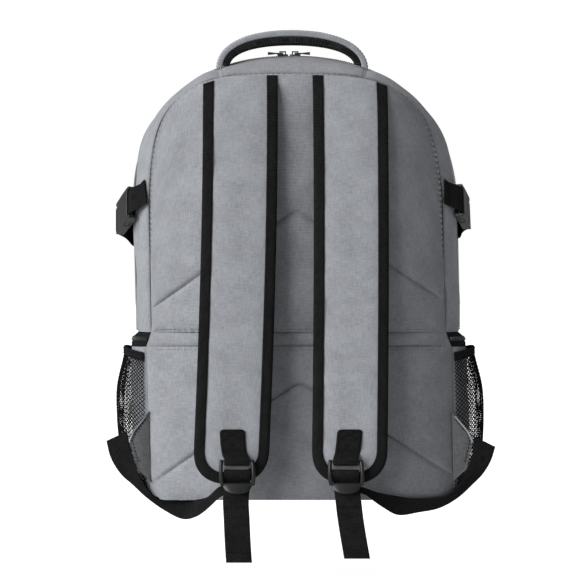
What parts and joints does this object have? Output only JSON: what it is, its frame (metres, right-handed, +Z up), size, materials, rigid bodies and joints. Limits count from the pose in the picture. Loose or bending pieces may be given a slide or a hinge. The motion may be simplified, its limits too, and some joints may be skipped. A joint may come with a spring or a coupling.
{
  "type": "cooler backpack",
  "caption": "Two-compartment insulated backpack with padded shoulder straps, net side pockets, side buckles and a carrying handle.",
  "frame": {"origin": "middle of the underside of the carrying handle, where the bag hangs from a hook", "axes": "+Z up, -Y towards the wearer's back (the side with the shoulder straps), +X to the right when looking at that side"},
  "size_m": [0.3825, 0.2329, 0.5195],
  "materials": {
    "heather_fabric": "grey heather polyester, matte",
    "black_fabric": "black woven polyester, matte",
    "black_net": "black knitted mesh",
    "black_webbing": "black ribbed webbing and binding",
    "black_plastic": "black moulded plastic, satin",
    "zip_tape": "black zip tape and coil",
    "zip_metal": "black coated metal"
  },
  "bodies": {
    "bag": {"adjusting_webbing_left": "black_webbing", "adjusting_webbing_right": "black_webbing", "back_band": "heather_fabric", "back_panel_lower": "heather_fabric", "back_panel_upper": "heather_fabric", "bottom_panel": "black_fabric", "buckle_plug_left": "black_plastic", "buckle_plug_right": "black_plastic", "buckle_socket_left": "black_plastic", "buckle_socket_right": "black_plastic", "compression_back_left": "black_webbing", "compression_back_right": "black_webbing", "compression_front_left": "black_webbing", "compression_front_right": "black_webbing", "cooler_side_left": "heather_fabric", "cooler_side_right": "heather_fabric", "cooler_zip": "zip_tape", "cooler_zip_slider": "zip_metal", "front_gusset": "heather_fabric", "front_panel_lower": "heather_fabric", "front_panel_upper": "heather_fabric", "handle": "heather_fabric", "handle_mesh": "black_net", "ladder_lock_left": "black_plastic", "ladder_lock_right": "black_plastic", "main_zip": "zip_tape", "mesh_pocket_left": "black_net", "mesh_pocket_right": "black_net", "pocket_elastic_left": "black_webbing", "pocket_elastic_right": "black_webbing", "shoulder_strap_left": "heather_fabric", "shoulder_strap_right": "heather_fabric", "side_gusset_left": "heather_fabric", "side_gusset_right": "heather_fabric", "strap_binding_left": "black_webbing", "strap_binding_right": "black_webbing", "strap_tab_left": "black_webbing", "strap_tab_right": "black_webbing", "strap_wing_left": "heather_fabric", "strap_wing_right": "heather_fabric", "top_gusset": "heather_fabric", "zip_slider_left": "zip_metal", "zip_slider_right": "zip_metal"},
    "zip_pull_left": {"zip_pull_left": "zip_metal"},
    "zip_pull_right": {"zip_pull_right": "zip_metal"}
  },
  "joints": [
    {"name": "zip_pull_left_flip", "type": "hinge", "parent": "bag", "child": "zip_pull_left", "pos_m": [-0.00905, 0.03131, -0.00538], "axis": [0, 1, 0], "range_deg": [0, 100]},
    {"name": "zip_pull_right_flip", "type": "hinge", "parent": "bag", "child": "zip_pull_right", "pos_m": [0.00345, 0.03131, -0.00538], "axis": [0, -1, 0], "range_deg": [0, 100]}
  ]
}
